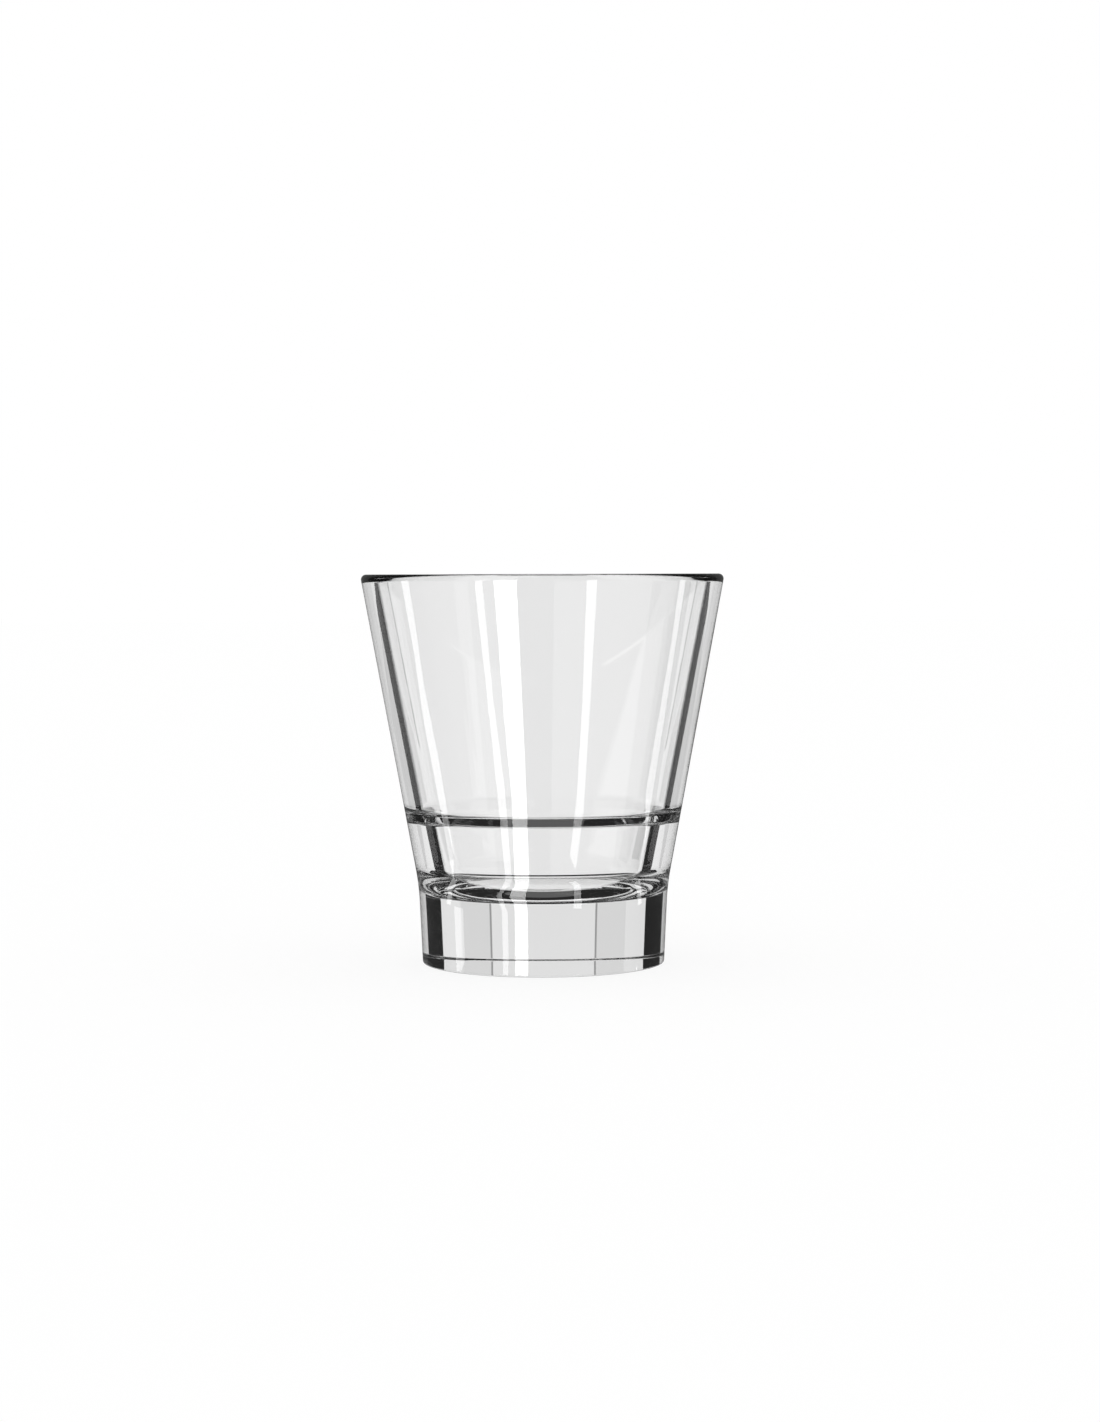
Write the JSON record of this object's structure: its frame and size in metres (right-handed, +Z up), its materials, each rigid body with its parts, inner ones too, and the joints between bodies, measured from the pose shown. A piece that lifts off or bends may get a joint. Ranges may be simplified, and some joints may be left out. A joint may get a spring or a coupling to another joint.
{
  "type": "rocks glass",
  "caption": "Clear pressed rocks glass: flared bowl on a narrower foot, sloping shoulder inside for stacking, small well over a thick base.",
  "frame": {"origin": "centre of the foot's flat underside, on the table", "axes": "+Z up along the glass's axis of revolution, towards the rim; every direction round the axis is alike"},
  "size_m": [0.0857, 0.0858, 0.0921],
  "materials": {
    "clear_glass": "fire-polished, smooth and clear"
  },
  "bodies": {
    "root": {"rim": "clear_glass", "bowl_wall": "clear_glass", "stacking_shoulder": "clear_glass", "well_wall": "clear_glass", "well_floor": "clear_glass", "foot": "clear_glass"}
  },
  "joints": []
}
